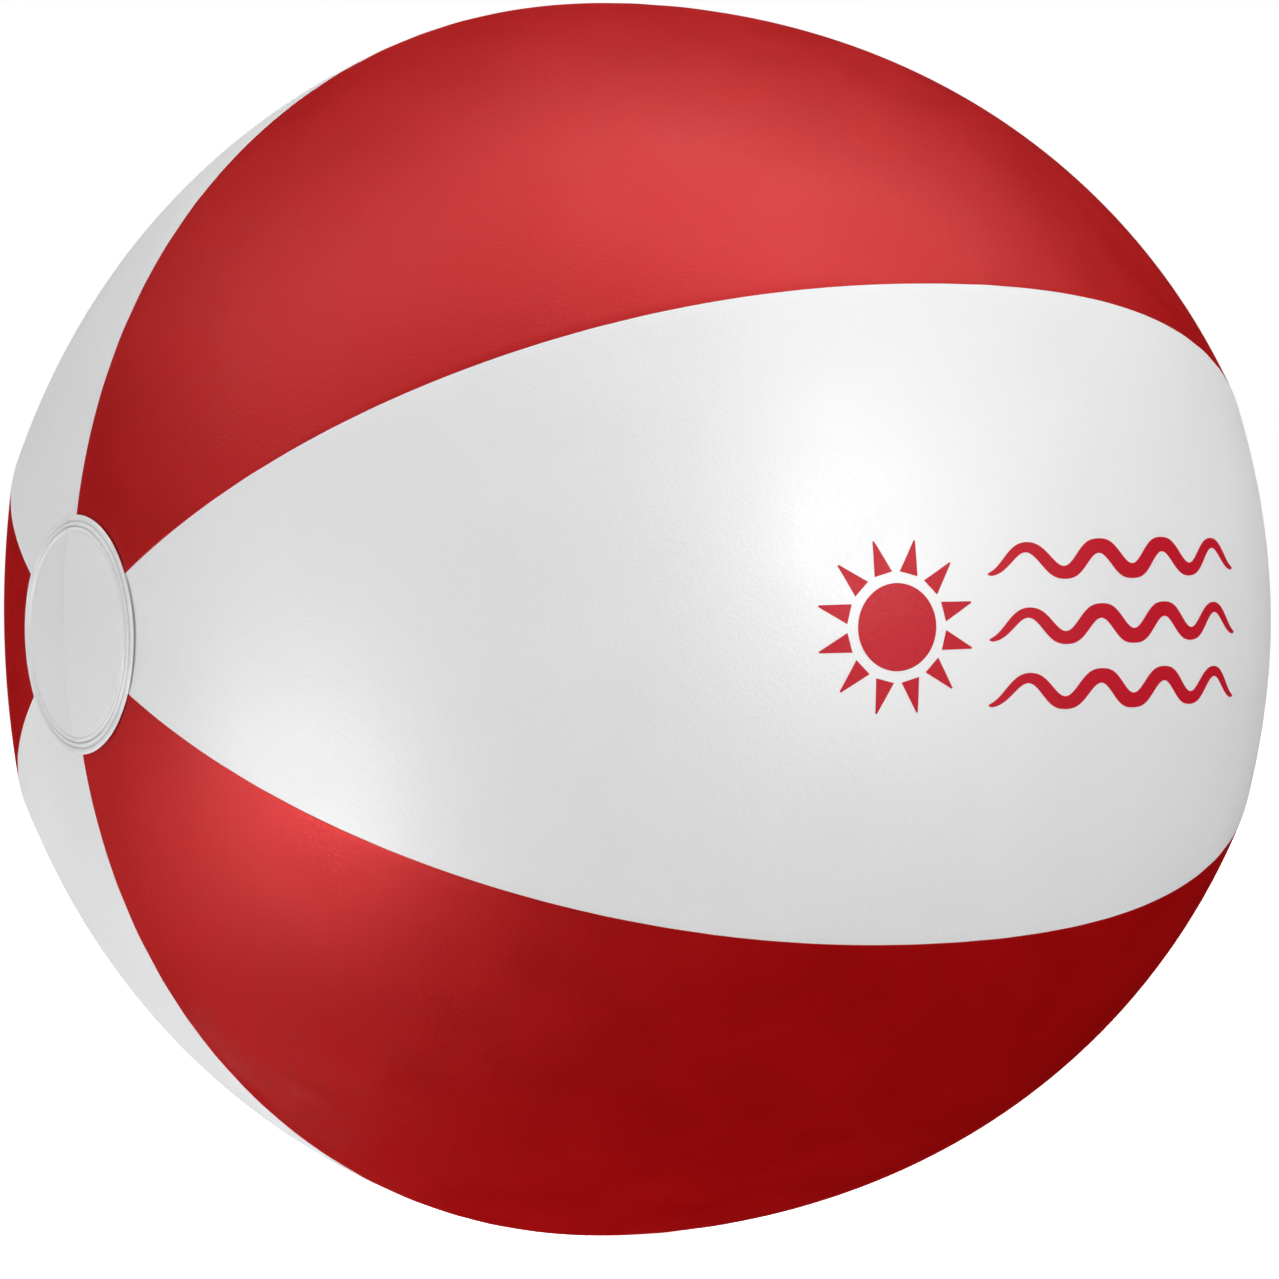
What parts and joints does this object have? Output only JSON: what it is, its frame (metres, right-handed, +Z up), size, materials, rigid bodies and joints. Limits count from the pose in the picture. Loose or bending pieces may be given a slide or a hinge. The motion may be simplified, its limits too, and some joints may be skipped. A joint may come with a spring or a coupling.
{
  "type": "inflatable beach ball",
  "caption": "Blown-up film ball of alternating red and white panels, with a round welded disc at each end and a push-in air valve with a tethered plug.",
  "frame": {"origin": "centre of the blown-up ball", "axes": "+X along the ball's axis, out of the disc that holds the valve; -X out of the plain end disc; -Y out of the front white panel; +Z up"},
  "size_m": [0.2728, 0.2552, 0.264],
  "materials": {
    "red_vinyl": "smooth satin PVC film, red",
    "white_vinyl": "smooth satin PVC film, white",
    "moulded_vinyl": "soft moulded PVC, white",
    "clear_vinyl": "thin soft PVC, milky white"
  },
  "bodies": {
    "root": {"panel_white_front": "white_vinyl", "panel_red_upper": "red_vinyl", "panel_white_upper_back": "white_vinyl", "panel_red_back": "red_vinyl", "panel_white_lower_back": "white_vinyl", "panel_red_lower": "red_vinyl", "end_disc": "white_vinyl", "valve_disc": "white_vinyl", "valve_flange": "moulded_vinyl", "valve_sleeve": "clear_vinyl"},
    "stem": {"valve_stem": "moulded_vinyl"},
    "plug": {"valve_plug": "moulded_vinyl", "plug_strap": "moulded_vinyl"},
    "flap": {"check_flap": "clear_vinyl"}
  },
  "joints": [
    {"name": "valve_slide", "type": "slide", "parent": "root", "child": "stem", "axis": [1, 0, 0], "range_m": [0, 0.0136], "deforming": ["valve_sleeve"]},
    {"name": "plug_hinge", "type": "hinge", "parent": "stem", "child": "plug", "pos_m": [0.136, 0, -0.0062], "axis": [0, 1, 0], "range_deg": [0, 120], "deforming": ["plug_strap"]},
    {"name": "flap_hinge", "type": "hinge", "parent": "stem", "child": "flap", "pos_m": [0.1198, 0, 0.0042], "axis": [0, 1, 0], "range_deg": [0, 60], "stiffness_Nm_per_rad": 0.00005}
  ]
}
